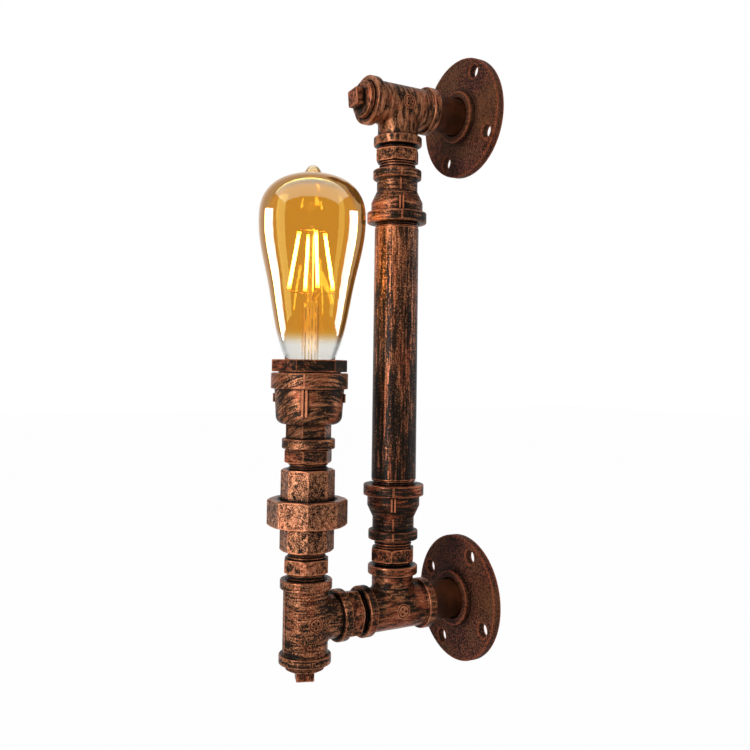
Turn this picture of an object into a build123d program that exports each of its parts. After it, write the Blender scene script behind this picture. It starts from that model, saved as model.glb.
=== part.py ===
from build123d import *
from math import cos, radians, sin
import os

# An industrial wall light made of threaded pipe fittings. Millimetres.
# The wall is the plane Y = 0 and -Y points into the room. +Z is up. The origin is
# the centre of the lower flange's back. A main column stands between two arms, and
# the lower arm goes on to a second column that carries the lamp.
# Angles of features on a column are measured from +X towards +Y.

# ---------------------------------------------------------------- driving sizes

# threads. A stretch that shows is cut as rings, and an engaged stretch is plain.
thread_pitch = 1.814
thread_depth = 0.75
thread_play = 0.05
ring_root = 0.15
ring_crest = 0.40
small_thread_r = 11.3
small_engaged = 10.0
large_thread_r = 13.3
large_engaged = 11.0
socket_spare = 0.6
mouth_bevel = 0.8
nipple_bore_r = 8.0
fitting_bore_r = 8.8

# bands and rounded edges of the cast fittings
fitting_wall = 1.65
band_rise = 2.0
band_w = 5.3
edge_round = 0.7
corner_drop = 0.55
seam_w = 1.1
seam_rise = 0.3

# wall flanges
flange_r = 38.7
flange_t = 5.0
flange_edge = 0.7
boss_r = 16.7
boss_rise = 4.3
boss_draft = 0.5
boss_mouth_play = 1.3
boss_mouth_depth = 1.6
screw_inset = 7.9
screw_hole_r = 4.3
screw_hole_lip = 0.4
screw_count = 4
screw_turn = 152.6
cable_hole_r = 9.4
cable_hole_depth = 3.0

# wall nipples
wall_nipple_r = 11.6
wall_nipple_show = 20.0
wall_nipple_shy = 0.4

# tees
tee_half = 23.6
tee_branch_step = 0.5
tee_blend = 2.2
column_tee_reach = 25.8
lamp_tee_reach = 23.9
mark_r = 3.9
mark_w = 0.6
mark_depth = 0.4
mark_dot_r = 0.85
mark_dot_spread = 1.7
mark_dot_count = 3

# hexagon nipples
hex_across = 24.8
hex_h = 7.8
hex_bevel = 1.3
arm_show_inner = 3.2
arm_show_outer = 0.6
column_show_tee = 2.5
column_show_reducer = 5.1
lamp_show_tee = 3.9
lamp_show_union = 4.4
head_show_union = 3.7
head_show_cup = 0.3
arm_hex_turn = 11.5
upper_hex_turn = -39.0
lower_hex_turn = -35.5
lamp_hex_turn = -29.0
head_hex_turn = -39.8

# reducers on the main column
reducer_len = 33.0
reducer_small_band_w = 5.6
reducer_band_rise = 2.45
reducer_large_band_w = 6.7
reducer_neck_wall = 1.25
reducer_body_wall = 2.55
reducer_neck_top = 13.2
reducer_cone_top = 20.2
reducer_rib_w = 3.0
reducer_rib_len = 7.6
reducer_rib_rise = 0.8
rib_groove_w = 1.0
rib_groove_depth = 0.6
upper_seam_turn = -23.5
lower_seam_turn = -33.0

# main pipe
pipe_r = 13.6
pipe_wall = 2.6
pipe_show = 153.6
pipe_thread_show = 3.0

# plugs
plug_thread_show = 1.5
plug_disc_r = 11.1
plug_disc_t = 1.5
plug_cone_h = 0.9
plug_cone_r = 9.4
plug_square = 10.3
plug_square_h = 5.8
plug_round = 0.8
upper_plug_turn = 8.0
lower_plug_turn = 22.0

# union
octagon_r = 15.62
octagon_bevel = 1.2
union_body_h = 14.2
union_thread_r = 18.9
union_thread_h = 6.6
nut_corner_wall = 4.25
nut_h = 15.0
nut_bevel = 1.4
nut_lip = 2.4
nut_lip_play = 0.3
nut_recess = 1.6
tail_flange_play = 0.08
tail_neck_play = 0.4
tail_h = 17.0
gasket_t = 1.2
gasket_shy = 2.0
union_turn = -27.0

# lamp cup, a bell reducer, and the collar that is screwed into it
cup_band_rise = 2.1
cup_band_h = 9.2
cup_side = 2.1
cup_bell_h = 20.3
cup_bell_draft = 1.3
cup_bell_round = 5.0
cup_neck_h = 8.1
cup_neck_wall = 2.2
cup_ring_wall = 4.0
cup_ring_h = 5.8
cup_wall = 2.6
cup_engaged = 4.6
cup_rib_w = 3.4
cup_rib_rise = 0.8
cup_rib_len = 15.5
cup_nub_len = 5.0
cup_seam_turn = -35.5
cup_neck_turn = -43.5
collar_gap = 0.65
collar_across = 38.4
collar_h = 7.0
collar_bevel = 0.5
collar_wall = 1.75
collar_turn = 12.2

# lampholder
holder_base_h = 4.6
holder_sleeve_wall = 1.8
holder_ledge = 0.7
holder_play = 0.05
holder_shy = 2.0
shell_t = 0.3
shell_rings = 6
tongue_h = 1.9
tongue_w = 6.0
tongue_len = 15.0
tongue_round = 1.5
terminal_r = 2.2
terminal_h = 2.6
terminal_slot_w = 0.8
terminal_slot_depth = 0.7
terminal_spread = 10.0

# lamp
cap_r = 13.15
cap_wave = 0.9
cap_pitch = 3.629
cap_crest = 0.35
cap_rings = 5
cap_t = 0.3
cap_play = 0.10
cap_skirt = 2.6
cap_rim = 0.2
pip_r = 4.2
pip_foot_r = 2.9
pip_h = 1.6
insulator_h = 2.4
insulator_r = 9.6
insulator_foot_r = 5.2
glass_t = 0.9
glass_neck_len = 5.0
glass_neck_play = 0.1
glass_base_r = 13.6
glass_low_r = 17.1
glass_low_rise = 10.4
glass_mid_r = 25.35
glass_mid_rise = 48.4
glass_widest_r = 31.3
glass_widest_rise = 84.3
glass_shoulder_r = 28.9
glass_shoulder_step = 14.1
glass_crown_r = 21.0
glass_crown_step = 8.9
glass_brow_r = 12.0
glass_brow_step = 3.65
glass_pip_r = 5.85
glass_pip_step = 0.85
glass_tip_r = 3.85
glass_tip_step = 3.35
glass_top_step = 2.05
glass_foot_slope = (0.25, 1)
glass_crown_slope = (-1, 0.12)
glass_pip_slope = (-0.5, 0.8)
stem_r = 4.95
stem_wall = 0.9
stem_play = 0.02
stem_flare_rise = -3.6
stem_throat_rise = 1.2
stem_bend = 2.0
stem_round = 1.5
stem_top_rise = 37.5
stem_pinch_h = 4.0
stem_rod_r = 1.5
stem_rod_spare = 1.0
wire_r = 0.35
wire_foot_r = 3.0
wire_bend_r = 5.0
wire_bend_rise = 4.2
wire_count = 4
filament_r = 1.0
filament_low_r = 13.3
filament_high_r = 7.8
filament_low_rise = 44.5
filament_high_rise = 77.5
filament_turn = -102.0
wire_knee = 1.6
driver_w = 15.0
driver_h = 9.0
driver_t = 1.6
driver_disc_r = 5.0

# flex inside the pipes
flex_r = 3.3
flex_bend_r = 14.0
flex_shy = 1.0

# ---------------------------------------------------------------- derived places

small_socket_r = small_thread_r + thread_play
large_socket_r = large_thread_r + thread_play
small_socket_depth = small_engaged + socket_spare
large_socket_depth = large_engaged + socket_spare

tee_body_r = small_socket_r + fitting_wall
tee_branch_body_r = tee_body_r - tee_branch_step
band_r = tee_body_r + band_rise
reducer_neck_r = small_socket_r + reducer_neck_wall
reducer_body_r = large_socket_r + reducer_body_wall
reducer_large_band_r = reducer_body_r + reducer_band_rise

screw_circle_r = flange_r - screw_inset
boss_face = flange_t + boss_rise
boss_mouth_r = wall_nipple_r + boss_mouth_play
column_y = boss_face + wall_nipple_show + tee_half
arm_gap = arm_show_inner + hex_h + arm_show_outer
lamp_branch_end = column_y + tee_half + arm_gap
lamp_y = lamp_branch_end + lamp_tee_reach

column_gap = column_show_tee + hex_h + column_show_reducer
lower_reducer_z = column_tee_reach + column_gap
pipe_z = lower_reducer_z + reducer_len
pipe_visible = pipe_show + 2 * pipe_thread_show
upper_arm_z = 2 * pipe_z + pipe_visible

union_z = tee_half + lamp_show_tee + hex_h + lamp_show_union
union_seat_z = union_z + union_body_h + union_thread_h
nut_z = union_z + union_body_h
nut_top_z = nut_z + nut_h
nut_corner_r = union_thread_r + thread_play + nut_corner_wall
tail_top_z = nut_top_z + tail_h
cup_z = tail_top_z + head_show_union + hex_h + head_show_cup
cup_floor_z = cup_z + cup_ring_h + cup_neck_h + cup_wall
cup_band_z = cup_z + cup_ring_h + cup_neck_h + cup_bell_h
cup_top_z = cup_band_z + cup_band_h
collar_z = cup_top_z + collar_gap
collar_top_z = collar_z + collar_h

holder_floor_z = cup_floor_z + holder_base_h
bulb_z = holder_floor_z + tongue_h
cap_z = bulb_z + pip_h + insulator_h
cap_h = cap_rings * cap_pitch + cap_skirt
glass_z = cap_z + cap_h
glass_neck_r = cap_r - cap_wave - cap_t - glass_neck_play
shell_crest_r = cap_r + cap_play
shell_outer_r = shell_crest_r + cap_wave + shell_t
sleeve_inner_r = shell_outer_r + holder_play
sleeve_outer_r = sleeve_inner_r + holder_sleeve_wall
collar_bore_r = sleeve_outer_r + holder_play
holder_r = sleeve_outer_r + holder_ledge
collar_thread_r = collar_bore_r + collar_wall
cup_bell_r = collar_thread_r + cup_side
cup_bell_foot_r = cup_bell_r - cup_bell_draft
cup_band_r = cup_bell_r + cup_band_rise
cup_ring_r = small_socket_r + cup_ring_wall
cup_neck_r = small_socket_r + cup_neck_wall
holder_shoulder_z = cup_band_z

glass_shoulder_rise = glass_widest_rise + glass_shoulder_step
glass_crown_rise = glass_shoulder_rise + glass_crown_step
glass_brow_rise = glass_crown_rise + glass_brow_step
glass_pip_rise = glass_brow_rise + glass_pip_step
glass_tip_rise = glass_pip_rise + glass_tip_step
glass_top_rise = glass_tip_rise + glass_top_step
sleeve_top_z = collar_top_z - holder_shy


# ---------------------------------------------------------------- shape helpers

def turned(*outline):
    """Turn a closed outline about Z. Each point is (radius, height) or (radius, height, rounding)."""
    corners = [point[:2] for point in outline]
    corners = [here for last, here in zip([corners[-1]] + corners, corners) if here != last]
    face = make_face(Polyline(*corners, close=True))
    for point in outline:
        if len(point) == 3:
            corner = face.vertices().sort_by_distance((point[0], point[1]))[0]
            face = fillet(corner, point[2])
    return revolve(Plane.XZ * face, Axis.Z)


def post(radius, height):
    """A plain cylinder that stands on local Z = 0."""
    return Cylinder(radius, height, align=(Align.CENTER, Align.CENTER, Align.MIN))


def thread_rings(radius, low, high):
    """Outline points of a thread that shows between two heights, from the low end up."""
    root = radius - thread_depth
    count = max(1, round((high - low) / thread_pitch))
    pitch = (high - low) / count
    points = []
    for ring in range(count):
        start = low + ring * pitch
        points += [
            (root, start + ring_root * pitch),
            (radius, start + ring_crest * pitch),
            (radius, start + (1 - ring_crest) * pitch),
            (root, start + (1 - ring_root) * pitch),
        ]
    return points


def faceted(sides, corner_r, height, turn, low_bevel, high_bevel):
    """A prism with a corner at the angle turn, its corners turned off at both ends."""
    prism = extrude(RegularPolygon(corner_r, sides, rotation=turn), height)
    barrel = turned(
        (0, 0),
        (corner_r - low_bevel, 0),
        (corner_r, corner_drop * low_bevel),
        (corner_r, height - corner_drop * high_bevel),
        (corner_r - high_bevel, height),
        (0, height),
    )
    return prism & barrel


def around(angle, radius, height=0.0):
    """A place on a circle about Z that faces outwards: local X is radial, local Z stays up."""
    return Rot(0, 0, angle) * Pos(radius, 0, height)


def skin(inner_r, outer_r, low, high):
    """A plain ring about Z, used to trim raised marks to the curve that they stand on."""
    return turned((inner_r, low), (outer_r, low), (outer_r, high), (inner_r, high))


def grooved_rib(width, height, rise):
    """A cast rib with a groove down its middle, centred on local X = 0 and standing out along +X."""
    rib = Box(2 * rise, width, height)
    return rib - Pos(rise - rib_groove_depth / 2, 0, 0) * Box(rib_groove_depth, rib_groove_w, height)


def arm(height):
    """The frame of an arm: local Z runs out from the wall and local Y is up."""
    return Pos(0, 0, height) * Rot(90, 0, 0)


def column(distance, height=0.0):
    """The frame of a column that stands at a distance from the wall."""
    return Pos(0, -distance, height)


flipped = Rot(180, 0, 0)


# ---------------------------------------------------------------- fittings

def wall_flange():
    """A round cast flange with a threaded boss, its back on local Z = 0."""
    blank = turned(
        (cable_hole_r, 0),
        (flange_r, 0),
        (flange_r, flange_t, flange_edge),
        (boss_r + boss_draft, flange_t, edge_round),
        (boss_r, boss_face, edge_round),
        (boss_mouth_r, boss_face),
        (small_socket_r, boss_face - boss_mouth_depth),
        (small_socket_r, cable_hole_depth),
        (cable_hole_r, cable_hole_depth),
    )
    for hole in range(screw_count):
        place = around(screw_turn + hole * 360 / screw_count, screw_circle_r)
        blank -= place * post(screw_hole_r, flange_t)
        blank -= place * turned(
            (0, flange_t - screw_hole_lip),
            (screw_hole_r, flange_t - screw_hole_lip),
            (screw_hole_r + screw_hole_lip, flange_t),
            (0, flange_t),
        )
    return blank


def wall_nipple():
    """A short pipe between the flange and the tee. Local Z = 0 is the wall."""
    shoulder = boss_face - boss_mouth_depth / 2
    face = boss_face + wall_nipple_show
    end = face + small_engaged
    return turned(
        (nipple_bore_r, cable_hole_depth),
        (small_thread_r, cable_hole_depth),
        (small_thread_r, shoulder),
        (wall_nipple_r, shoulder),
        (wall_nipple_r, face - wall_nipple_shy),
        (small_thread_r, face - wall_nipple_shy),
        (small_thread_r, end),
        (nipple_bore_r, end),
    )


def socket_cut(depth, radius):
    """The threaded hole in the end of a fitting, from local Z = 0 down, with a bevelled mouth."""
    return turned(
        (0, -depth),
        (radius, -depth),
        (radius, -mouth_bevel),
        (radius + mouth_bevel, 0),
        (0, 0),
    )


def tee(reach):
    """A tee with its run along local Z and its branch along local Y."""
    end = tee_half
    run = turned(
        (0, -end),
        (band_r, -end, edge_round),
        (band_r, -end + band_w, edge_round),
        (tee_body_r, -end + band_w, edge_round),
        (tee_body_r, end - band_w, edge_round),
        (band_r, end - band_w, edge_round),
        (band_r, end, edge_round),
        (0, end),
    )
    to_branch = Rot(-90, 0, 0)
    stub = to_branch * post(tee_branch_body_r, reach - band_w)
    collar = to_branch * Pos(0, 0, reach - band_w) * turned(
        (0, 0),
        (band_r, 0, edge_round),
        (band_r, band_w, edge_round),
        (0, band_w),
    )
    body = run + stub
    saddle = [
        edge
        for edge in body.edges()
        if 1 < edge.center().Y < tee_body_r
        and abs(edge.center().Z) < tee_branch_body_r
        and edge.length > band_r
    ]
    body = fillet(saddle, tee_blend)
    body += collar
    ring = skin(tee_body_r - seam_rise, tee_body_r + seam_rise, -end + band_w, end - band_w)
    body += ring & (Pos(0, -tee_body_r, 0) * Box(seam_w, tee_body_r, 2 * end))
    sunk = skin(tee_body_r - mark_depth, tee_body_r + mark_depth, -mark_r, mark_r)
    across = 4 * tee_body_r
    mark = Cylinder(mark_r, across) - Cylinder(mark_r - mark_w, across)
    for dot in range(mark_dot_count):
        mark += around(dot * 360 / mark_dot_count, mark_dot_spread) * Cylinder(mark_dot_r, across)
    body -= sunk & (Rot(0, 90, 0) * mark)
    for place in (Pos(0, 0, end), Pos(0, 0, -end) * flipped, to_branch * Pos(0, 0, reach)):
        body -= place * socket_cut(small_socket_depth, small_socket_r)
    body -= Cylinder(fitting_bore_r, 2 * end)
    body -= to_branch * post(fitting_bore_r, reach)
    return body


def hex_nipple(show_low, show_high, turn, engaged_high=small_engaged):
    """A hexagon nipple. Local Z = 0 is the face of the fitting below it."""
    hex_top = show_low + hex_h
    face = hex_top + show_high
    core_r = small_thread_r - thread_depth
    shank = turned(
        (nipple_bore_r, -small_engaged),
        (small_thread_r, -small_engaged),
        (small_thread_r, 0),
        *thread_rings(small_thread_r, 0, show_low),
        (core_r, show_low),
        (core_r, hex_top),
        *thread_rings(small_thread_r, hex_top, face),
        (small_thread_r, face),
        (small_thread_r, face + engaged_high),
        (nipple_bore_r, face + engaged_high),
    )
    corner_r = hex_across / 2 / cos(radians(30))
    nut = faceted(6, corner_r, hex_h, turn, hex_bevel, hex_bevel)
    nut -= Cylinder(core_r, 2 * hex_h + 1)
    return shank + Pos(0, 0, show_low) * nut


def reducer(seam_turn):
    """A reducing socket. Local Z = 0 is its small end."""
    band_low = reducer_len - reducer_large_band_w
    body = turned(
        (fitting_bore_r, small_socket_depth),
        (small_socket_r, small_socket_depth),
        (small_socket_r, mouth_bevel),
        (small_socket_r + mouth_bevel, 0),
        (band_r, 0, edge_round),
        (band_r, reducer_small_band_w, edge_round),
        (reducer_neck_r, reducer_small_band_w, edge_round),
        (reducer_neck_r, reducer_neck_top, 2 * edge_round),
        (reducer_body_r, reducer_cone_top, 2 * edge_round),
        (reducer_body_r, band_low, edge_round),
        (reducer_large_band_r, band_low, edge_round),
        (reducer_large_band_r, reducer_len, edge_round),
        (large_socket_r + mouth_bevel, reducer_len),
        (large_socket_r, reducer_len - mouth_bevel),
        (large_socket_r, reducer_len - large_socket_depth),
        (fitting_bore_r, reducer_len - large_socket_depth),
    )
    strips = Part()
    for side in (0, 180):
        rib = around(seam_turn + side, reducer_body_r, band_low - reducer_rib_len / 2)
        strips += rib * grooved_rib(reducer_rib_w, reducer_rib_len + 2 * edge_round, reducer_rib_rise)
        for radius, low, high in (
            (band_r, edge_round, reducer_small_band_w - edge_round),
            (reducer_neck_r, reducer_small_band_w, reducer_neck_top),
            (reducer_large_band_r, band_low + edge_round, reducer_len - edge_round),
        ):
            seam = around(seam_turn + side, radius, (low + high) / 2)
            strips += seam * Box(2 * seam_rise, seam_w, high - low)
    return body + strips


def main_pipe():
    """The plain pipe of the main column. Local Z = 0 is the face of the lower reducer."""
    top = pipe_visible
    bore = pipe_r - pipe_wall
    return turned(
        (bore, -large_engaged),
        (large_thread_r, -large_engaged),
        (large_thread_r, 0),
        *thread_rings(large_thread_r, 0, pipe_thread_show),
        (pipe_r, pipe_thread_show),
        (pipe_r, top - pipe_thread_show),
        *thread_rings(large_thread_r, top - pipe_thread_show, top),
        (large_thread_r, top),
        (large_thread_r, top + large_engaged),
        (bore, top + large_engaged),
    )


def plug(turn):
    """A square-headed plug that closes the end of a tee. Local Z = 0 is the tee's face."""
    disc = plug_thread_show + plug_disc_t
    seat = disc + plug_cone_h
    body = turned(
        (0, -small_engaged),
        (small_thread_r, -small_engaged),
        (small_thread_r, 0),
        *thread_rings(small_thread_r, 0, plug_thread_show),
        (plug_disc_r, plug_thread_show),
        (plug_disc_r, disc),
        (plug_cone_r, seat),
        (0, seat),
    )
    head = extrude(Rot(0, 0, turn) * RectangleRounded(plug_square, plug_square, plug_round), plug_square_h)
    head = fillet(head.faces().sort_by(Axis.Z)[-1].edges(), plug_round / 2)
    return body + Pos(0, 0, seat) * head


# ---------------------------------------------------------------- union

def union_body():
    """The fixed half of the union: an octagon with an outside thread. Local Z = 0 is its foot."""
    block = faceted(8, octagon_r, union_body_h, union_turn, octagon_bevel, 0.0)
    seat = union_body_h + union_thread_h
    thread = turned(
        (0, union_body_h),
        (union_thread_r, union_body_h, edge_round),
        (union_thread_r, seat),
        (0, seat),
    )
    body = block + thread
    body -= flipped * socket_cut(small_socket_depth, small_socket_r)
    body -= Cylinder(fitting_bore_r, 3 * seat)
    return body


def union_gasket():
    """The flat washer between the two halves of the union. Local Z = 0 is the seat."""
    return turned(
        (fitting_bore_r, 0),
        (union_thread_r - gasket_shy, 0),
        (union_thread_r - gasket_shy, gasket_t),
        (fitting_bore_r, gasket_t),
    )


def union_nut():
    """The octagon nut that holds the halves together. Local Z = 0 is its foot."""
    thread_r = union_thread_r + thread_play
    hole_r = octagon_r + tail_neck_play
    block = faceted(8, nut_corner_r, nut_h, union_turn, nut_bevel, nut_bevel)
    inside = turned(
        (0, 0),
        (thread_r, 0),
        (thread_r, nut_h - nut_lip),
        (hole_r, nut_h - nut_lip),
        (hole_r, nut_h - nut_recess),
        (hole_r + nut_recess, nut_h),
        (0, nut_h),
    )
    return block - inside


def union_tail():
    """The turning half of the union. Local Z = 0 is the gasket's top."""
    lip = nut_top_z - nut_lip - union_seat_z - gasket_t
    flange_top = lip - nut_lip_play
    octagon_foot = nut_top_z - union_seat_z - gasket_t
    top = octagon_foot + tail_h
    flange = turned(
        (0, 0),
        (union_thread_r + thread_play - tail_flange_play, 0),
        (union_thread_r + thread_play - tail_flange_play, flange_top),
        (octagon_r, flange_top),
        (octagon_r, octagon_foot - nut_recess),
        (0, octagon_foot - nut_recess),
    )
    block = faceted(8, octagon_r, tail_h + nut_recess, union_turn, 0.0, octagon_bevel)
    body = flange + Pos(0, 0, octagon_foot - nut_recess) * block
    body -= Pos(0, 0, top) * socket_cut(small_socket_depth, small_socket_r)
    body -= Cylinder(fitting_bore_r, 3 * top)
    return body


# ---------------------------------------------------------------- lamp cup and collar

def lamp_cup():
    """The bell-shaped cup that holds the lampholder. Local Z = 0 is its small end."""
    neck_z = cup_ring_h
    bell_z = neck_z + cup_neck_h
    band_z = bell_z + cup_bell_h
    top = band_z + cup_band_h
    floor = bell_z + cup_wall
    outside = turned(
        (0, 0),
        (cup_ring_r, 0, edge_round),
        (cup_ring_r, neck_z, edge_round),
        (nipple_bore_r, neck_z),
        (nipple_bore_r, bell_z),
        (cup_bell_foot_r, bell_z, cup_bell_round),
        (cup_bell_r, band_z),
        (cup_band_r, band_z, edge_round),
        (cup_band_r, top, edge_round),
        (0, top),
    )
    outside += Pos(0, 0, neck_z) * extrude(RegularPolygon(cup_neck_r, 6, rotation=cup_neck_turn), cup_neck_h)
    rib_middle = band_z - cup_rib_len / 2
    for side in (0, 180):
        rib = around(cup_seam_turn + side, cup_bell_r, rib_middle)
        outside += rib * grooved_rib(cup_rib_w, cup_rib_len, cup_rib_rise)
        nub = around(cup_seam_turn + side + 90, cup_bell_r, rib_middle + cup_nub_len / 2)
        outside += nub * Box(2 * cup_rib_rise, cup_rib_w, cup_nub_len)
        seam = around(cup_seam_turn + side, cup_band_r, (band_z + top) / 2)
        outside += seam * Box(2 * seam_rise, seam_w, cup_band_h - 2 * edge_round)
    inside = turned(
        (0, floor),
        (holder_r + holder_play, floor),
        (holder_r + holder_play, band_z),
        (collar_thread_r + thread_play, band_z),
        (collar_thread_r + thread_play, top - mouth_bevel),
        (collar_thread_r + thread_play + mouth_bevel, top),
        (0, top),
    )
    outside -= inside
    outside -= flipped * socket_cut(cup_engaged + socket_spare, small_socket_r)
    outside -= Cylinder(nipple_bore_r, 2 * floor + 1)
    return outside


def hex_collar():
    """The hollow hexagon plug that clamps the lampholder in the cup. Local Z = 0 is the hexagon's foot."""
    corner_r = collar_across / 2 / cos(radians(30))
    head = faceted(6, corner_r, collar_h, collar_turn, collar_bevel, collar_bevel)
    spigot = skin(collar_bore_r, collar_thread_r, holder_shoulder_z - collar_z, collar_h / 2)
    head -= Cylinder(collar_bore_r, 3 * collar_h)
    return head + spigot


# ---------------------------------------------------------------- lampholder

def wave(radius, low, rings):
    """Outline points of the round screw of a lamp cap, from the low end up."""
    points = []
    for ring in range(rings):
        start = low + ring * cap_pitch
        points += [
            (radius - cap_wave, start),
            (radius, start + cap_crest * cap_pitch),
            (radius, start + (1 - cap_crest) * cap_pitch),
        ]
    points.append((radius - cap_wave, low + rings * cap_pitch))
    return points


def lampholder_body():
    """The ceramic body of the lampholder, with its sleeve. Local Z = 0 is the cup's floor."""
    shoulder = holder_shoulder_z - cup_floor_z
    top = sleeve_top_z - cup_floor_z
    body = turned(
        (flex_r, 0),
        (holder_r, 0, edge_round),
        (holder_r, shoulder),
        (sleeve_outer_r, shoulder),
        (sleeve_outer_r, top, edge_round),
        (sleeve_inner_r, top),
        (sleeve_inner_r, holder_base_h),
        (flex_r, holder_base_h),
    )
    for side in (-1, 1):
        pocket = Pos(0, side * terminal_spread, holder_base_h - terminal_h)
        body -= pocket * post(terminal_r, terminal_h)
    return body


def lampholder_shell():
    """The screwed metal shell that takes the lamp's cap. Local Z = 0 is the holder's floor."""
    low = cap_z - holder_floor_z - cap_pitch
    groove_r = shell_crest_r + cap_wave
    inner = [(shell_crest_r + groove_r - r, z) for r, z in wave(groove_r, low, shell_rings)]
    outer = [(r + shell_t, z) for r, z in inner]
    foot = [(inner[0][0], 0), (outer[0][0], 0)]
    return turned(foot[0], foot[1], *outer, *reversed(inner))


def centre_contact():
    """The springy tongue that meets the lamp's pip. Local Z = 0 is the holder's floor."""
    tongue = Pos(0, 0, tongue_h / 2) * Box(tongue_w, tongue_len, tongue_h)
    return fillet(tongue.edges().filter_by(Axis.Z), tongue_round)


def terminal_screws():
    """The two screws that clamp the flex, sunk in the holder's floor."""
    screws = Part()
    for side in (-1, 1):
        place = Pos(0, side * terminal_spread, -terminal_h)
        screw = post(terminal_r - thread_play, terminal_h)
        slot = Pos(0, 0, terminal_h) * Box(2 * terminal_r, terminal_slot_w, 2 * terminal_slot_depth)
        screws += place * (screw - slot)
    return screws


# ---------------------------------------------------------------- lamp

def bulb_contact():
    """The solder pip at the foot of the lamp."""
    return turned((0, 0), (pip_foot_r, 0), (pip_r, pip_h / 2), (pip_r, pip_h), (0, pip_h))


def bulb_insulator():
    """The black glass disc between the pip and the screwed cap."""
    low = pip_h
    high = pip_h + insulator_h
    return turned((0, low), (insulator_foot_r, low), (insulator_r, high), (0, high))


def bulb_cap():
    """The screwed metal cap. Local Z = 0 is the pip's foot."""
    low = cap_z - bulb_z
    top = low + cap_h
    rings = wave(cap_r, low, cap_rings)
    inner = [(r - cap_t, z) for r, z in rings]
    return turned(
        (insulator_r - cap_t, low),
        *rings,
        (cap_r, low + (cap_rings + cap_crest) * cap_pitch),
        (cap_r, top),
        (glass_neck_r + glass_neck_play, top),
        (glass_neck_r + glass_neck_play, top - cap_skirt + cap_rim),
        *reversed(inner[1:]),
        (insulator_r - cap_t, low + cap_t),
    )


def drawn_in(radius, rise, inset):
    """A point of the glass's crown, moved by an amount towards the middle of the widest place."""
    out = Vector(radius, rise - glass_widest_rise).normalized()
    return radius - inset * out.X, rise - inset * out.Y


def glass_outline(inset):
    """The curve of the glass from its neck to its tip, moved in by an amount. Height 0 is the cap's top."""
    waist = Spline(
        (glass_base_r - inset, 0),
        (glass_low_r - inset, glass_low_rise),
        (glass_mid_r - inset, glass_mid_rise),
        (glass_widest_r - inset, glass_widest_rise),
        tangents=(glass_foot_slope, (0, 1)),
    )
    crown = Spline(
        (glass_widest_r - inset, glass_widest_rise),
        drawn_in(glass_shoulder_r, glass_shoulder_rise, inset),
        drawn_in(glass_crown_r, glass_crown_rise, inset),
        drawn_in(glass_brow_r, glass_brow_rise, inset),
        drawn_in(glass_pip_r, glass_pip_rise, inset),
        tangents=((0, 1), glass_crown_slope),
    )
    tip = Spline(
        drawn_in(glass_pip_r, glass_pip_rise, inset),
        drawn_in(glass_tip_r, glass_tip_rise, inset),
        (0, glass_top_rise - inset),
        tangents=(glass_pip_slope, (-1, 0)),
    )
    return [waist, crown, tip]


def bulb_glass():
    """The blown glass of the lamp, a closed skin with a neck that goes down into the cap."""
    solids = []
    for inset in (0.0, glass_t):
        curves = glass_outline(inset)
        foot = glass_base_r - inset
        edges = curves + [Line((0, glass_top_rise - inset), (0, 0)), Line((0, 0), (foot, 0))]
        solids.append(revolve(Plane.XZ * make_face(Wire(edges)), Axis.Z))
    glass = solids[0] - solids[1]
    neck = skin(glass_neck_r - glass_t, glass_neck_r, -glass_neck_len, 0)
    rim = skin(glass_neck_r - glass_t, glass_base_r, 0, glass_t)
    return glass + neck + (rim & solids[0])


def bulb_stem():
    """The glass mount inside the lamp: a flare, a tube, a pinch and a thin rod."""
    flare_r = glass_neck_r - glass_t - stem_play
    pinch = stem_top_rise - stem_pinch_h
    tube = turned(
        (flare_r - stem_wall, -glass_neck_len),
        (flare_r, -glass_neck_len),
        (flare_r, stem_flare_rise),
        (stem_r, stem_throat_rise, stem_bend),
        (stem_r, stem_top_rise, stem_round),
        (0, stem_top_rise),
        (0, pinch),
        (stem_r - stem_wall, pinch),
        (stem_r - stem_wall, stem_throat_rise - stem_wall),
        (flare_r - stem_wall, stem_flare_rise - stem_wall),
    )
    rod = skin(0, stem_rod_r, stem_top_rise, filament_high_rise + 2 * wire_knee + stem_rod_spare)
    return tube + rod


def rod_between(start, end, radius):
    """A round rod with flat ends between two points."""
    run = end - start
    return Plane(origin=start, z_dir=run) * post(radius, run.length)


def filament_ends(index):
    """The low and the high end of one light-giving rod."""
    angle = radians(filament_turn + index * 360 / wire_count)
    low = Vector(filament_low_r * cos(angle), filament_low_r * sin(angle), filament_low_rise)
    high = Vector(filament_high_r * cos(angle), filament_high_r * sin(angle), filament_high_rise)
    return low, high


def led_filaments():
    """The four light-giving rods, which lean in towards their tops."""
    rods = Part()
    for index in range(wire_count):
        low, high = filament_ends(index)
        rods += rod_between(low, high, filament_r)
    return rods


def bent_wire(*points):
    """A wire that runs straight from point to point, with a round ball at each bend."""
    wire = Part()
    for start, end in zip(points, points[1:]):
        wire += rod_between(start, end, wire_r)
    for bend in points[1:-1]:
        wire += Pos(bend) * Sphere(wire_r)
    return wire


def filament_supports():
    """The wires that hold and feed the rods, from the pinch and from a ring on the thin rod's top."""
    ring_r = stem_rod_r + wire_r
    wires = []
    top = Part()
    for index in range(wire_count):
        low, high = filament_ends(index)
        lean = (high - low).normalized() * wire_knee
        out = Vector(low.X, low.Y, 0).normalized()
        foot = out * wire_foot_r + Vector(0, 0, stem_top_rise)
        bend = out * wire_bend_r + Vector(0, 0, stem_top_rise + wire_bend_rise)
        knee = low - lean
        wires.append(bent_wire(foot, foot + Vector(0, 0, wire_knee), bend, knee, low))
        knee = high + lean
        hub = out * ring_r + Vector(0, 0, knee.Z)
        top += bent_wire(hub, knee, high)
    top += Pos(0, 0, hub.Z) * Torus(ring_r, wire_r)
    return Compound([*wires, top])


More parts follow.
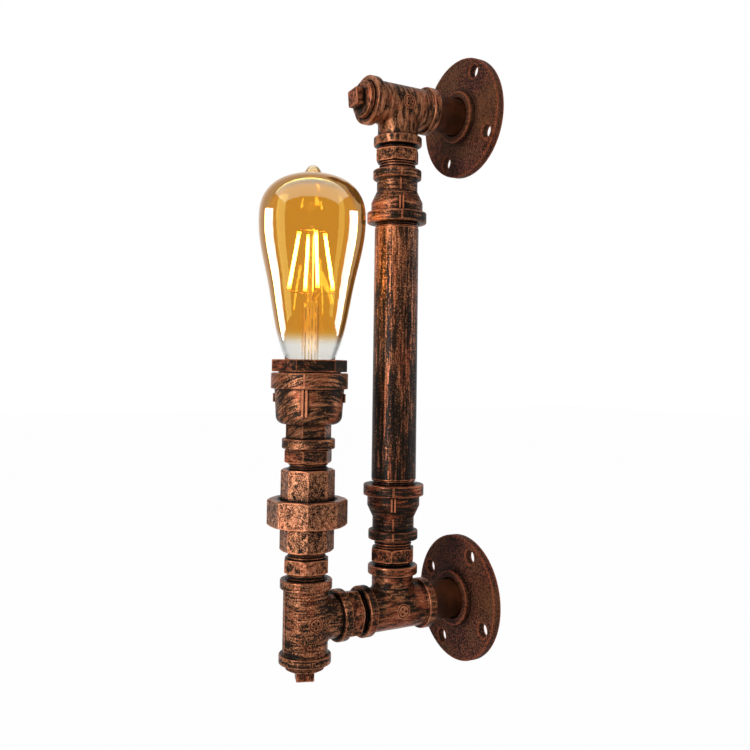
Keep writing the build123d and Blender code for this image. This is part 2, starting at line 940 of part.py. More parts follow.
def lead_wires():
    """The straight wires inside the stem, from the circuit board's disc up to the pinch."""
    low = cap_z + driver_h - glass_z
    wire = post(wire_r, stem_top_rise - stem_pinch_h - low)
    wires = Part()
    for index in range(wire_count):
        wires += around(filament_turn + index * 360 / wire_count, wire_foot_r, low) * wire
    return wires


def bulb_driver():
    """The small circuit board that sits in the lamp's cap, with the disc that its wires stand on."""
    board = Pos(0, 0, driver_h / 2) * Box(driver_w, driver_t, driver_h)
    disc = Pos(0, 0, driver_h - driver_t) * post(driver_disc_r, driver_t)
    return Pos(0, 0, pip_h + insulator_h) * (board + disc)


# ---------------------------------------------------------------- flex

def arm_flex():
    """The flex in the arm, from the wall to where the lamp's tee turns."""
    start = cable_hole_depth + flex_shy
    return Pos(0, 0, start) * post(flex_r, lamp_branch_end - start)


def elbow_flex():
    """The flex that bends up inside the lamp's tee and ends at the union's seat."""
    path = FilletPolyline(
        (0, -lamp_branch_end, 0),
        (0, -lamp_y, 0),
        (0, -lamp_y, union_seat_z),
        radius=flex_bend_r,
    )
    section = Plane(origin=(0, -lamp_branch_end, 0), z_dir=(0, -1, 0)) * Circle(flex_r)
    return sweep(section, path=path)


def head_flex():
    """The flex above the union, up to the lampholder's floor."""
    return Pos(0, 0, union_seat_z) * post(flex_r, holder_floor_z - union_seat_z)


# ---------------------------------------------------------------- assembly

lower_arm = arm(0)
upper_arm = arm(upper_arm_z)
main_column = column(column_y)
lamp_column = column(lamp_y)
bulb_place = lamp_column * Pos(0, 0, bulb_z)
glass_place = lamp_column * Pos(0, 0, glass_z)

nodes = {
    # wall side and main column
    "lower_wall_flange": lower_arm * wall_flange(),
    "lower_wall_nipple": lower_arm * wall_nipple(),
    "lower_tee": lower_arm * Pos(0, 0, column_y) * tee(column_tee_reach),
    "lower_column_nipple": main_column
    * Pos(0, 0, column_tee_reach)
    * hex_nipple(column_show_tee, column_show_reducer, lower_hex_turn),
    "lower_reducer": main_column * Pos(0, 0, lower_reducer_z) * reducer(lower_seam_turn),
    "main_pipe": main_column * Pos(0, 0, pipe_z) * main_pipe(),
    "upper_reducer": main_column
    * Pos(0, 0, upper_arm_z - lower_reducer_z)
    * flipped
    * reducer(-upper_seam_turn),
    "upper_column_nipple": main_column
    * Pos(0, 0, upper_arm_z - column_tee_reach)
    * flipped
    * hex_nipple(column_show_tee, column_show_reducer, -upper_hex_turn),
    "upper_tee": upper_arm * Pos(0, 0, column_y) * Rot(0, 0, 180) * tee(column_tee_reach),
    "upper_plug": upper_arm * Pos(0, 0, column_y + tee_half) * plug(upper_plug_turn),
    "upper_wall_nipple": upper_arm * wall_nipple(),
    "upper_wall_flange": upper_arm * wall_flange(),
    "arm_nipple": lower_arm
    * Pos(0, 0, column_y + tee_half)
    * hex_nipple(arm_show_inner, arm_show_outer, arm_hex_turn),
    "arm_flex": lower_arm * arm_flex(),
    # lamp arm, which turns about the lower arm's axis
    "lamp_tee": lamp_column * tee(lamp_tee_reach),
    "lamp_plug": lamp_column * Pos(0, 0, -tee_half) * flipped * plug(lower_plug_turn),
    "lamp_column_nipple": lamp_column
    * Pos(0, 0, tee_half)
    * hex_nipple(lamp_show_tee, lamp_show_union, lamp_hex_turn),
    "union_body": lamp_column * Pos(0, 0, union_z) * union_body(),
    "union_gasket": lamp_column * Pos(0, 0, union_seat_z) * union_gasket(),
    "union_nut": lamp_column * Pos(0, 0, nut_z) * union_nut(),
    "elbow_flex": elbow_flex(),
    # lamp head, which turns about the lamp column's axis
    "union_tail": lamp_column * Pos(0, 0, union_seat_z + gasket_t) * union_tail(),
    "head_nipple": lamp_column
    * Pos(0, 0, tail_top_z)
    * hex_nipple(head_show_union, head_show_cup, head_hex_turn, cup_engaged),
    "lamp_cup": lamp_column * Pos(0, 0, cup_z) * lamp_cup(),
    "hex_collar": lamp_column * Pos(0, 0, collar_z) * hex_collar(),
    "lampholder_body": lamp_column * Pos(0, 0, cup_floor_z) * lampholder_body(),
    "lampholder_shell": lamp_column * Pos(0, 0, holder_floor_z) * lampholder_shell(),
    "centre_contact": lamp_column * Pos(0, 0, holder_floor_z) * centre_contact(),
    "terminal_screws": lamp_column * Pos(0, 0, holder_floor_z) * terminal_screws(),
    "head_flex": lamp_column * head_flex(),
    # lamp
    "bulb_contact": bulb_place * bulb_contact(),
    "bulb_insulator": bulb_place * bulb_insulator(),
    "bulb_cap": bulb_place * bulb_cap(),
    "bulb_driver": bulb_place * bulb_driver(),
    "bulb_glass": glass_place * bulb_glass(),
    "bulb_stem": glass_place * bulb_stem(),
    "filament_supports": glass_place * filament_supports(),
    "lead_wires": glass_place * lead_wires(),
    "led_filaments": glass_place * led_filaments(),
}

os.makedirs("parts", exist_ok=True)
for name, shape in nodes.items():
    export_step(shape, f"parts/{name}.step")
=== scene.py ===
from math import cos, radians, sin

import bpy
from mathutils import Matrix, Vector


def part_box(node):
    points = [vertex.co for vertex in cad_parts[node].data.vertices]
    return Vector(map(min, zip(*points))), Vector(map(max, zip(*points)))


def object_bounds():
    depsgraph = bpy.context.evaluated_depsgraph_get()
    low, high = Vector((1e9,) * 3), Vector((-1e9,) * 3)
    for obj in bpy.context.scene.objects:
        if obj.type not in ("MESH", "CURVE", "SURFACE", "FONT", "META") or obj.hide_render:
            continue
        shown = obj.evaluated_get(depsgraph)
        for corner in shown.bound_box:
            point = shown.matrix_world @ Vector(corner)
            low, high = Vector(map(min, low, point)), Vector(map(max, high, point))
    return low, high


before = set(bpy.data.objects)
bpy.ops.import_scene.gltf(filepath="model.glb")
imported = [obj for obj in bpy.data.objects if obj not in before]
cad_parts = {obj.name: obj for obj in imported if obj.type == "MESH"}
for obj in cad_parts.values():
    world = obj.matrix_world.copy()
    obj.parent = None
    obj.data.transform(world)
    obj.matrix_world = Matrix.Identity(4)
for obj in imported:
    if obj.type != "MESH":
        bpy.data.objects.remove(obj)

low_corner, high_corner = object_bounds()

# ------------------------------------------------------------------ camera
# The camera stands low in front and to the right, and looks slightly up. VIEW is its bearing in degrees,
# and the lamps count their bearings from it. Lengths are in metres, and those that end in PX in pixels.
CAMERA_AT = Vector((0.46821, -0.36092, 0.14448))
VIEW = 57.64
CAMERA_AZIMUTH = radians(VIEW)
CAMERA_ELEVATION = radians(-3.02)
CAMERA_ROLL = radians(0.77)
SENSOR_MM = 36.0
PICTURE = 750
FOCAL_PX = 909.88
CENTRE_PX = (380.0, 320.0)
CLIP_NEAR = 0.05
CLIP_FAR = 50.0


def make_camera():
    """The photo's camera, with its roll and its shifted centre."""
    data = bpy.data.cameras.new("camera")
    data.sensor_width = SENSOR_MM
    data.lens = FOCAL_PX / PICTURE * data.sensor_width
    data.shift_x = (PICTURE / 2 - CENTRE_PX[0]) / PICTURE
    data.shift_y = (CENTRE_PX[1] - PICTURE / 2) / PICTURE
    data.clip_start = CLIP_NEAR
    data.clip_end = CLIP_FAR
    camera = bpy.data.objects.new("camera", data)
    bpy.context.collection.objects.link(camera)
    level = cos(CAMERA_ELEVATION)
    back = Vector((sin(CAMERA_AZIMUTH) * level, -cos(CAMERA_AZIMUTH) * level, sin(CAMERA_ELEVATION)))
    right = Vector((cos(CAMERA_AZIMUTH), sin(CAMERA_AZIMUTH), 0.0))
    up = back.cross(right)
    rolled_right = right * cos(CAMERA_ROLL) + up * sin(CAMERA_ROLL)
    rolled_up = up * cos(CAMERA_ROLL) - right * sin(CAMERA_ROLL)
    turn = Matrix((rolled_right, rolled_up, back)).transposed()
    camera.matrix_world = Matrix.Translation(CAMERA_AT) @ turn.to_4x4()
    bpy.context.scene.camera = camera


make_camera()


# ------------------------------------------------------------------ node helpers
def rgb(r, g, b):
    """A colour as seen on a screen, 0 to 255, as the linear colour that a shader takes."""
    def linear(v):
        v /= 255.0
        return v / 12.92 if v <= 0.04045 else ((v + 0.055) / 1.055) ** 2.4
    return (linear(r), linear(g), linear(b), 1.0)


class Paint:
    """A material with its nodes, built from short calls that each return an output socket."""

    def __init__(self, name):
        self.material = bpy.data.materials.new(name)
        self.material.use_nodes = True
        self.tree = self.material.node_tree
        self.tree.nodes.clear()
        self.output = self.tree.nodes.new("ShaderNodeOutputMaterial")

    def node(self, kind, values=(), **settings):
        made = self.tree.nodes.new(kind)
        for key, value in settings.items():
            setattr(made, key, value)
        for key, value in dict(values).items():
            if isinstance(value, bpy.types.NodeSocket):
                self.tree.links.new(value, made.inputs[key])
            else:
                made.inputs[key].default_value = value
        return made

    def place(self, stretch=(1, 1, 1), turn=(0, 0, 0), offset=(0, 0, 0)):
        """Where a point lies on its piece, moved, turned and then stretched."""
        where = self.node("ShaderNodeTexCoord").outputs["Object"]
        turned = self.node("ShaderNodeMapping", {"Vector": where, "Rotation": turn, "Location": offset})
        return self.node(
            "ShaderNodeVectorMath", {0: turned.outputs[0], 1: stretch}, operation="MULTIPLY"
        ).outputs[0]

    def noise(self, where, scale, detail=4.0, rough=0.55, swirl=0.0):
        return self.node(
            "ShaderNodeTexNoise",
            {"Vector": where, "Scale": scale, "Detail": detail, "Roughness": rough, "Distortion": swirl},
        ).outputs["Fac"]

    def height(self):
        """The height of a point on its piece."""
        where = self.node("ShaderNodeTexCoord").outputs["Object"]
        return self.node("ShaderNodeSeparateXYZ", {"Vector": where}).outputs["Z"]

    def ramp(self, value, low, high, to_low=0.0, to_high=1.0):
        return self.node(
            "ShaderNodeMapRange",
            {"Value": value, "From Min": low, "From Max": high, "To Min": to_low, "To Max": to_high},
            interpolation_type="SMOOTHSTEP",
        ).outputs[0]

    def math(self, kind, a, b=0.5, c=0.5):
        return self.node("ShaderNodeMath", {0: a, 1: b, 2: c}, operation=kind).outputs[0]

    def mix(self, share, a, b):
        made = self.tree.nodes.new("ShaderNodeMix")
        made.data_type = "RGBA"
        for key, value in ((0, share), (6, a), (7, b)):
            if isinstance(value, bpy.types.NodeSocket):
                self.tree.links.new(value, made.inputs[key])
            else:
                made.inputs[key].default_value = value
        return made.outputs[2]

    def bump(self, height, distance, strength=1.0):
        return self.node(
            "ShaderNodeBump", {"Height": height, "Distance": distance, "Strength": strength}
        ).outputs[0]

    def principled(self, **values):
        named = {key.replace("_", " "): value for key, value in values.items()}
        return self.node("ShaderNodeBsdfPrincipled", named).outputs[0]

    def finish(self, shader):
        self.tree.links.new(shader, self.output.inputs["Surface"])
        return self.material


MASK_SAMPLES = 6
CORNER_SPAN = (0.93, 0.70)
HOLLOW_SPAN = (0.84, 0.46)


def corner_mask(paint, reach):
    """1 on outside corners within the reach, 0 on flat and hollow places."""
    inside = paint.node("ShaderNodeAmbientOcclusion", {"Distance": reach}, inside=True, samples=MASK_SAMPLES)
    return paint.ramp(inside.outputs["AO"], *CORNER_SPAN)


def shaded_hollow_mask(paint, reach):
    """1 in tight corners and gaps, 0 in the open: where the iron's paint is darkened as painted shade."""
    outside = paint.node("ShaderNodeAmbientOcclusion", {"Distance": reach}, samples=MASK_SAMPLES)
    return paint.ramp(outside.outputs["AO"], *HOLLOW_SPAN)


def shifted(seed):
    """A place in the noise that belongs to one piece alone."""
    return seed, seed * 0.7, seed * 1.3


# ------------------------------------------------------------------ painted iron
BLACK = rgb(22, 21, 19)
UMBER = rgb(50, 36, 27)
# The near black that recesses are darkened towards, as painted shade.
SHADE_BLACK = rgb(9, 9, 9)
COPPER = rgb(146, 94, 64)
BRIGHT = rgb(206, 146, 110)
RED = rgb(132, 64, 40)
RIDGE = rgb(168, 90, 56)

# How far the worn corners and the recesses darkened by painted shade reach, and how much of its light the
# paint mirrors.
BRUSHED_CORNER = 0.0009
BRUSHED_HOLLOW = 0.0040
CAST_CORNER = 0.0014
CAST_HOLLOW = 0.007
PAINT_GLOSS = 0.03
SATIN_GLOSS = 0.08

# What each thing adds to the level of copper, which the brush left where the level is above its middle.
STROKE_SHARE = 0.9
CORNER_SHARE = 0.34
# The recesses' share takes copper out of them, which darkens them as painted shade.
HOLLOW_SHARE = -0.95
COVER_SHARE = 0.24


def brushed_iron(name, stretch, turn=(0, 0, 0), cover=0.5, speckle=0.35, seed=0.0, warm=0.5,
                 blotch=(60, 60, 60), uneven=0.6, lift=None, polish=0.26, grit=1150.0):
    """Near-black iron with copper paint dragged over it, darkened in its recesses as painted shade. Stretch
    sets the brush's direction.

    Lift is a low height, a high height and how much more copper there is at the high one.
    """
    paint = Paint(name)
    offset = shifted(seed)
    strokes = paint.noise(paint.place(stretch, turn, offset), 1.0, 6.0, 0.68, 0.3)
    patches = paint.noise(paint.place(blotch, offset=offset), 1.0, 4.0, 0.6)
    grain = paint.noise(paint.place(offset=offset), grit, 3.0, 0.6)
    edges = corner_mask(paint, BRUSHED_CORNER)
    shaded_hollows = shaded_hollow_mask(paint, BRUSHED_HOLLOW)
    level = paint.math("MULTIPLY_ADD", strokes, STROKE_SHARE, 0.0)
    level = paint.math("MULTIPLY_ADD", patches, uneven, level)
    level = paint.math("MULTIPLY_ADD", grain, speckle, level)
    level = paint.math("MULTIPLY_ADD", edges, CORNER_SHARE, level)
    # Painted shade: less copper in the recesses.
    level = paint.math("MULTIPLY_ADD", shaded_hollows, HOLLOW_SHARE, level)
    if lift:
        low, high, more = lift
        level = paint.math("ADD", level, paint.ramp(paint.height(), low, high, 0.0, more))
    middle = 0.5 * (STROKE_SHARE + uneven + speckle) + COVER_SHARE * (0.5 - cover)
    brushed = paint.ramp(level, middle - 0.05, middle + 0.07)
    strong = paint.ramp(level, middle + 0.04, middle + 0.34)
    tint = paint.ramp(patches, 0.5 - 0.25 * warm, 0.75 - 0.25 * warm)
    under = paint.mix(paint.ramp(level, middle - 0.24, middle), BLACK, UMBER)
    copper = paint.mix(tint, COPPER, RED)
    copper = paint.mix(strong, copper, BRIGHT)
    copper = paint.mix(paint.math("MULTIPLY", edges, 0.7), copper, RIDGE)
    colour = paint.mix(brushed, under, copper)
    # Painted shade: the recesses are darkened towards near black.
    colour = paint.mix(paint.math("MULTIPLY", shaded_hollows, 0.85), colour, SHADE_BLACK)
    rough = paint.math("MULTIPLY_ADD", grain, 0.22, polish)
    sheen = paint.math("MULTIPLY", brushed, 0.42)
    relief = paint.math("MULTIPLY_ADD", grain, 0.6, paint.math("MULTIPLY", level, 0.5))
    return paint.finish(paint.principled(
        Base_Color=colour, Metallic=sheen, Roughness=rough, Normal=paint.bump(relief, 0.00025, 0.6),
        Specular_IOR_Level=PAINT_GLOSS,
    ))


def cast_iron(name, seed=0.0):
    """Fine-grained casting in red-brown, darker in its pits, with painted shade in its recesses and copper at
    its rims.
    """
    paint = Paint(name)
    here = paint.place(offset=shifted(seed))
    grain = paint.noise(here, 1050.0, 3.0, 0.7)
    patches = paint.noise(here, 42.0, 3.0, 0.5)
    edges = corner_mask(paint, CAST_CORNER)
    shaded_hollows = shaded_hollow_mask(paint, CAST_HOLLOW)
    level = paint.math("MULTIPLY_ADD", patches, 0.35, grain)
    # Painted shade: less of the light colour in the recesses.
    level = paint.math("MULTIPLY_ADD", shaded_hollows, -0.35, level)
    bare = paint.ramp(level, 0.60, 0.78)
    ground = paint.mix(bare, rgb(30, 19, 17), rgb(130, 74, 56))
    umber = paint.mix(bare, rgb(30, 20, 16), rgb(110, 70, 48))
    tinted = paint.mix(paint.ramp(patches, 0.42, 0.62), ground, umber)
    worn = paint.math("MULTIPLY", edges, paint.ramp(grain, 0.30, 0.55))
    colour = paint.mix(worn, tinted, rgb(176, 96, 64))
    # Painted shade: the recesses are darkened towards near black.
    colour = paint.mix(paint.math("MULTIPLY", shaded_hollows, 0.7), colour, SHADE_BLACK)
    rough = paint.math("MULTIPLY_ADD", grain, 0.2, 0.45)
    return paint.finish(paint.principled(
        Base_Color=colour, Metallic=0.12, Roughness=rough, Normal=paint.bump(grain, 0.00045, 0.9),
        Specular_IOR_Level=PAINT_GLOSS,
    ))


def satin_brown(name):
    """Smooth dark brown paint, a little uneven."""
    paint = Paint(name)
    here = paint.place()
    cloud = paint.noise(here, 70.0, 3.0, 0.5)
    grain = paint.noise(here, 1200.0, 2.0, 0.5)
    colour = paint.mix(paint.ramp(cloud, 0.35, 0.7), rgb(60, 33, 19), rgb(98, 54, 32))
    rough = paint.math("MULTIPLY_ADD", cloud, 0.15, 0.26)
    return paint.finish(paint.principled(
        Base_Color=colour, Metallic=0.25, Roughness=rough, Normal=paint.bump(grain, 0.00006, 0.4),
        Specular_IOR_Level=SATIN_GLOSS,
    ))


def plain(name, dark, light, rough, metal):
    """A quiet two-tone material for pieces that are mostly hidden."""
    paint = Paint(name)
    cloud = paint.noise(paint.place(), 220.0, 4.0, 0.55)
    colour = paint.mix(paint.ramp(cloud, 0.35, 0.65), dark, light)
    worn = paint.math("MULTIPLY_ADD", cloud, 0.15, rough)
    return paint.finish(paint.principled(
        Base_Color=colour, Metallic=metal, Roughness=worn, Normal=paint.bump(cloud, 0.00005, 0.5)
    ))


# How much the strokes are squeezed along each axis, which sets the brush's direction.
ALONG_Z = (760.0, 760.0, 48.0)
ACROSS_Z = (90.0, 90.0, 800.0)
EVEN = (420.0, 420.0, 420.0)
UNION = dict(stretch=EVEN, cover=0.56, speckle=1.2, warm=0.1, uneven=0.5, polish=0.2, grit=1600.0)

pipe_foot, pipe_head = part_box("main_pipe")
IRON = {
    "lower_tee": dict(stretch=(200, 90, 520), cover=0.50, seed=1.1, uneven=0.4, warm=0.4, polish=0.2),
    "upper_tee": dict(stretch=(110, 520, 110), cover=0.56, seed=2.3, warm=0.1, uneven=0.4),
    "upper_plug": dict(stretch=EVEN, cover=0.50, seed=3.1),
    "upper_column_nipple": dict(stretch=EVEN, cover=0.42, speckle=0.7, seed=4.7, warm=0.2),
    "upper_reducer": dict(stretch=ACROSS_Z, cover=0.35, speckle=0.6, seed=5.3, warm=0.2),
    "main_pipe": dict(
        stretch=ALONG_Z, cover=0.06, speckle=0.6, seed=6.1, warm=0.3, blotch=(70, 70, 20), uneven=0.5,
        polish=0.14, lift=(pipe_foot.z, pipe_head.z, 0.11),
    ),
    "lower_reducer": dict(stretch=ACROSS_Z, cover=0.30, speckle=0.5, seed=7.7, warm=0.8, uneven=0.4),
    "lower_column_nipple": dict(stretch=EVEN, cover=0.36, speckle=0.7, seed=8.3, warm=0.5),
    "arm_nipple": dict(stretch=EVEN, cover=0.45, speckle=0.5, seed=9.1, warm=0.4),
    "lamp_tee": dict(stretch=ACROSS_Z, cover=0.46, speckle=0.7, seed=10.3, warm=0.1, uneven=0.5, polish=0.16),
    "lamp_plug": dict(stretch=EVEN, cover=0.30, speckle=0.8, seed=11.9),
    "lamp_column_nipple": dict(stretch=EVEN, cover=0.52, speckle=0.6, seed=12.7, warm=0.2),
    "union_body": UNION | dict(seed=13.1),
    "union_nut": UNION | dict(seed=14.3, cover=0.58),
    "union_tail": UNION | dict(seed=15.7),
    "head_nipple": dict(stretch=ACROSS_Z, cover=0.34, speckle=0.5, seed=16.1, warm=0.3),
    "lamp_cup": dict(stretch=ACROSS_Z, turn=(0.0, 0.5, 0.0), cover=0.46, speckle=0.4, seed=17.9, warm=0.2),
    "hex_collar": dict(stretch=(150, 150, 520), cover=0.12, speckle=0.5, seed=18.3, warm=0.4),
}


# ------------------------------------------------------------------ lamp
AMBER = rgb(225, 183, 72)
DEEP_AMBER = rgb(158, 106, 36)
CLEAR = rgb(238, 237, 234)
DEEP_CLEAR = rgb(186, 188, 188)
STEM = rgb(250, 242, 230)
DEEP_STEM = rgb(206, 158, 100)
ROD = rgb(250, 210, 110)
# Colours of the painted glow in the glass. The gold one also colours the rods' ends.
PAINTED_GLOW_WHITE = (1.0, 0.92, 0.84, 1.0)
GOLD_LIGHT = (1.0, 0.52, 0.08, 1.0)
ROD_LIGHT = (1.0, 0.86, 0.62, 1.0)

# How edge-on the glass has to be seen for its rim to begin and to be full, then the rim's mirror and painted
# glow.
RIM_SPAN = (0.40, 0.60)
RIM_MIRROR = 0.75
RIM_PAINTED_GLOW = 0.07
GLASS_INDEX = 1.32
TIP_TINT = 0.7
ROD_STRENGTH = 36.0
ROD_FLICKER = 10.0


def blown_glass(name, tinted, deep, tint_span, tip_span, glow=0.0):
    """Thin tinted glass. The tint fades in over one span of heights and pales over another, at the tip.

    Seen edge on, where light passes through far more of it, the glass turns deep and mirrors its own colour,
    and a painted glow stands in for some of the rods' light. Glow is the strength of that painted glow all
    over.
    """
    paint = Paint(name)
    height = paint.height()
    share = paint.ramp(height, *tint_span)
    share = paint.math("MULTIPLY", share, paint.ramp(height, *tip_span, 1.0, TIP_TINT))
    edge_on = paint.node("ShaderNodeLayerWeight", {"Blend": 0.5}).outputs["Facing"]
    rim = paint.ramp(edge_on, *RIM_SPAN)
    colour = paint.mix(share, paint.mix(rim, CLEAR, DEEP_CLEAR), paint.mix(rim, tinted, deep))
    depth = paint.math("MULTIPLY", rim, share)
    ripple = paint.noise(paint.place(), 30.0, 2.0, 0.4)
    # Painted glow: the emission stands in for the rods' light gathered in the glass.
    return paint.finish(paint.principled(
        Base_Color=colour, Metallic=paint.math("MULTIPLY", depth, RIM_MIRROR), Roughness=0.0,
        IOR=GLASS_INDEX, Transmission_Weight=1.0, Emission_Color=paint.mix(depth, PAINTED_GLOW_WHITE, GOLD_LIGHT),
        Emission_Strength=paint.math("MULTIPLY_ADD", depth, RIM_PAINTED_GLOW, glow),
        Normal=paint.bump(ripple, 0.00004, 0.3),
    ))


def glowing_rod(name):
    """A light-giving rod: a warm white core that is more yellow at its ends."""
    paint = Paint(name)
    lowest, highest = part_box("led_filaments")
    middle = (lowest.z + highest.z) / 2
    half = (highest.z - lowest.z) / 2
    off_middle = paint.math("ABSOLUTE", paint.math("SUBTRACT", paint.height(), middle))
    colour = paint.mix(paint.ramp(off_middle, half * 0.78, half), ROD_LIGHT, GOLD_LIGHT)
    grain = paint.noise(paint.place(), 900.0, 2.0, 0.5)
    return paint.finish(paint.principled(
        Base_Color=ROD, Roughness=0.5, Emission_Color=colour,
        Emission_Strength=paint.math("MULTIPLY_ADD", grain, ROD_FLICKER, ROD_STRENGTH),
    ))


# ------------------------------------------------------------------ which piece wears what
FLANGES = ("lower_wall_flange", "upper_wall_flange")
NIPPLES = ("lower_wall_nipple", "upper_wall_nipple")
FLEX = ("arm_flex", "elbow_flex", "head_flex")
HOLDER_METAL = ("lampholder_shell", "centre_contact", "terminal_screws")
LAMP_WIRES = ("filament_supports", "lead_wires")
GLASS = ("bulb_glass", "bulb_stem")


def wear(node, material):
    """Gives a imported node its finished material."""
    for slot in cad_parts[node].material_slots:
        slot.material = material


for node, look in IRON.items():
    wear(node, brushed_iron("iron_" + node, **look))
for index, node in enumerate(FLANGES):
    wear(node, cast_iron("cast_" + node, 3.7 * index))
satin = satin_brown("satin_brown")
for node in NIPPLES:
    wear(node, satin)
sheath = plain("flex_sheath", rgb(24, 24, 25), rgb(40, 40, 42), 0.45, 0.0)
for node in FLEX:
    wear(node, sheath)
brass = plain("holder_brass", rgb(150, 112, 56), rgb(196, 158, 92), 0.22, 1.0)
for node in HOLDER_METAL:
    wear(node, brass)
wear("union_gasket", plain("gasket_rubber", rgb(20, 20, 20), rgb(36, 36, 36), 0.6, 0.0))
wear("lampholder_body", plain("holder_ceramic", rgb(214, 208, 192), rgb(236, 232, 222), 0.18, 0.0))
wear("bulb_cap", plain("cap_brass", rgb(176, 142, 84), rgb(214, 184, 126), 0.2, 1.0))
wear("bulb_contact", plain("solder", rgb(130, 130, 132), rgb(176, 176, 178), 0.35, 1.0))
wear("bulb_insulator", plain("cap_insulator", rgb(12, 12, 14), rgb(26, 26, 30), 0.12, 0.0))
wear("bulb_driver", plain("driver_board", rgb(24, 56, 30), rgb(38, 80, 44), 0.5, 0.0))
wire_metal = plain("support_wire", rgb(120, 88, 44), rgb(216, 178, 110), 0.25, 1.0)
for node in LAMP_WIRES:
    wear(node, wire_metal)
wear("led_filaments", glowing_rod("glowing_rod"))
collar_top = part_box("hex_collar")[1].z
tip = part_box("bulb_glass")[1].z
wear("bulb_glass", blown_glass(
    "amber_glass", AMBER, DEEP_AMBER, (collar_top + 0.008, collar_top + 0.018), (tip - 0.006, tip - 0.003),
))
# The stem's glow is a faint painted glow all over, for the rods' light it carries.
wear("bulb_stem", blown_glass(
    "stem_glass", STEM, DEEP_STEM, (collar_top, collar_top + 0.010), (tip, tip + 0.001), glow=0.09,
))


# ------------------------------------------------------------------ floor, light and world
FLOOR_HALF = 6.0
FLOOR_DROP = 0.16
FLOOR_SHOWN = 0.985
WORLD_FILL = 0.11
WORLD_SEEN = 1.0
STUDIO_CENTRE = Vector((0.0, -0.08, 0.16))


def whitened(name, shown):
    """A pale surface that the camera, gloss and glass see near white, and that still takes shadows."""
    paint = Paint(name)
    cloud = paint.noise(paint.place(), 3.0, 3.0, 0.5)
    tone = paint.mix(cloud, rgb(240, 240, 240), rgb(246, 246, 246))
    matt = paint.principled(Base_Color=tone, Roughness=0.8)
    glow = paint.node("ShaderNodeEmission", {"Color": (1, 1, 1, 1), "Strength": 1.0}).outputs[0]
    rays = paint.node("ShaderNodeLightPath").outputs
    seen = paint.math("MAXIMUM", rays["Is Camera Ray"], rays["Is Glossy Ray"])
    seen = paint.math("MAXIMUM", seen, rays["Is Transmission Ray"])
    share = paint.math("MULTIPLY", seen, shown)
    return paint.finish(paint.node("ShaderNodeMixShader", {0: share, 1: matt, 2: glow}).outputs[0])


def make_floor():
    """A wide white floor, a little below the lowest piece."""
    height = low_corner.z - FLOOR_DROP
    corners = [(x * FLOOR_HALF, y * FLOOR_HALF, height) for x, y in ((-1, -1), (1, -1), (1, 1), (-1, 1))]
    mesh = bpy.data.meshes.new("floor")
    mesh.from_pydata(corners, [], [(0, 1, 2, 3)])
    floor = bpy.data.objects.new("floor", mesh)
    bpy.context.collection.objects.link(floor)
    floor.data.materials.append(whitened("floor", FLOOR_SHOWN))


def make_world():
    """White to the camera, to gloss and to glass, and a weak even light to all else."""
    world = bpy.data.worlds.new("studio")
    bpy.context.scene.world = world
    world.use_nodes = True
    tree = world.node_tree
    tree.nodes.clear()
    output = tree.nodes.new("ShaderNodeOutputWorld")
    fill = tree.nodes.new("ShaderNodeBackground")
    fill.inputs["Strength"].default_value = WORLD_FILL
    seen = tree.nodes.new("ShaderNodeBackground")
    seen.inputs["Strength"].default_value = WORLD_SEEN
    for shader in (fill, seen):
        shader.inputs["Color"].default_value = (1, 1, 1, 1)
    rays = tree.nodes.new("ShaderNodeLightPath")
    mix = tree.nodes.new("ShaderNodeMixShader")
    last = rays.outputs["Is Camera Ray"]
    for name in ("Is Glossy Ray", "Is Transmission Ray"):
        either = tree.nodes.new("ShaderNodeMath")
        either.operation = "MAXIMUM"
        tree.links.new(last, either.inputs[0])
        tree.links.new(rays.outputs[name], either.inputs[1])
        last = either.outputs[0]
    tree.links.new(last, mix.inputs[0])
    tree.links.new(fill.outputs[0], mix.inputs[1])
    tree.links.new(seen.outputs[0], mix.inputs[2])
    tree.links.new(mix.outputs[0], output.inputs["Surface"])


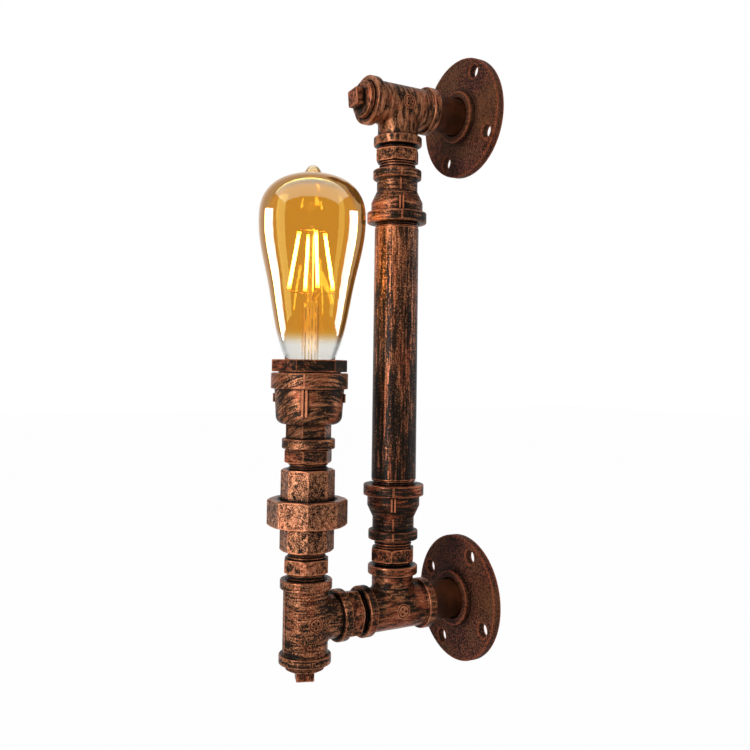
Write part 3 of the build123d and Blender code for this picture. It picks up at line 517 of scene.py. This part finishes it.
def softbox(name, azimuth, elevation, distance, size, power, only_on=(), not_on=(), colour=(1, 1, 1)):
    """A soft lamp at a bearing from the object, counted as the camera's bearing is.

    Angles are in degrees, lengths in metres and power in watts. Where only_on names nodes, the lamp gives
    those pieces their highlights and lights nothing else. It leaves out the nodes that not_on names.
    """
    data = bpy.data.lights.new(name, "AREA")
    data.shape = "RECTANGLE"
    data.size, data.size_y = size
    data.energy = power
    data.color = colour
    lamp = bpy.data.objects.new(name, data)
    bpy.context.collection.objects.link(lamp)
    bearing = radians(azimuth)
    rise = radians(elevation)
    away = Vector((sin(bearing) * cos(rise), -cos(bearing) * cos(rise), sin(rise)))
    lamp.location = STUDIO_CENTRE + away * distance
    lamp.rotation_mode = "QUATERNION"
    lamp.rotation_quaternion = (-away).to_track_quat("-Z", "Y")
    lamp.visible_camera = False
    if only_on:
        lamp.visible_diffuse = False
        lamp.visible_transmission = False
    if only_on or not_on:
        chosen = bpy.data.collections.new(name + "_nodes")
        for node in only_on or not_on:
            chosen.objects.link(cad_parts[node])
        lamp.light_linking.receiver_collection = chosen
        for entry in chosen.collection_objects:
            entry.light_linking.link_state = "INCLUDE" if only_on else "EXCLUDE"


make_floor()
make_world()
softbox("key", VIEW - 42, 14, 1.6, (0.5, 1.2), 18.0, not_on=GLASS)
softbox("glint", VIEW - 36, 4, 1.6, (0.25, 1.1), 22.0, only_on=tuple(IRON) + NIPPLES)
softbox("fill", VIEW + 70, 10, 1.8, (0.6, 1.2), 0.8, not_on=GLASS)
softbox("rim", VIEW + 100, 0, 1.5, (0.4, 1.2), 7.0, not_on=GLASS)
softbox("top", VIEW, 82, 1.4, (1.0, 1.0), 2.5)
softbox("canopy", VIEW, 70, 1.5, (5.0, 2.05), 250.0, only_on=GLASS, colour=(0.85, 1.0, 0.82))
softbox("left_strip", VIEW - 100, 0, 1.3, (0.65, 0.75), 46.0, only_on=GLASS)
softbox("right_strip", VIEW + 102, 0, 1.3, (0.65, 0.75), 46.0, only_on=GLASS)
softbox("left_band", VIEW - 66, 8, 1.3, (0.5, 1.5), 22.0, only_on=GLASS, colour=(1.0, 0.88, 0.25))
softbox("right_band", VIEW + 68, 8, 1.3, (0.3, 1.5), 10.0, only_on=GLASS, colour=(1.0, 0.84, 0.20))
for node in GLASS:
    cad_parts[node].visible_shadow = False

bpy.context.scene.view_settings.view_transform = "Standard"
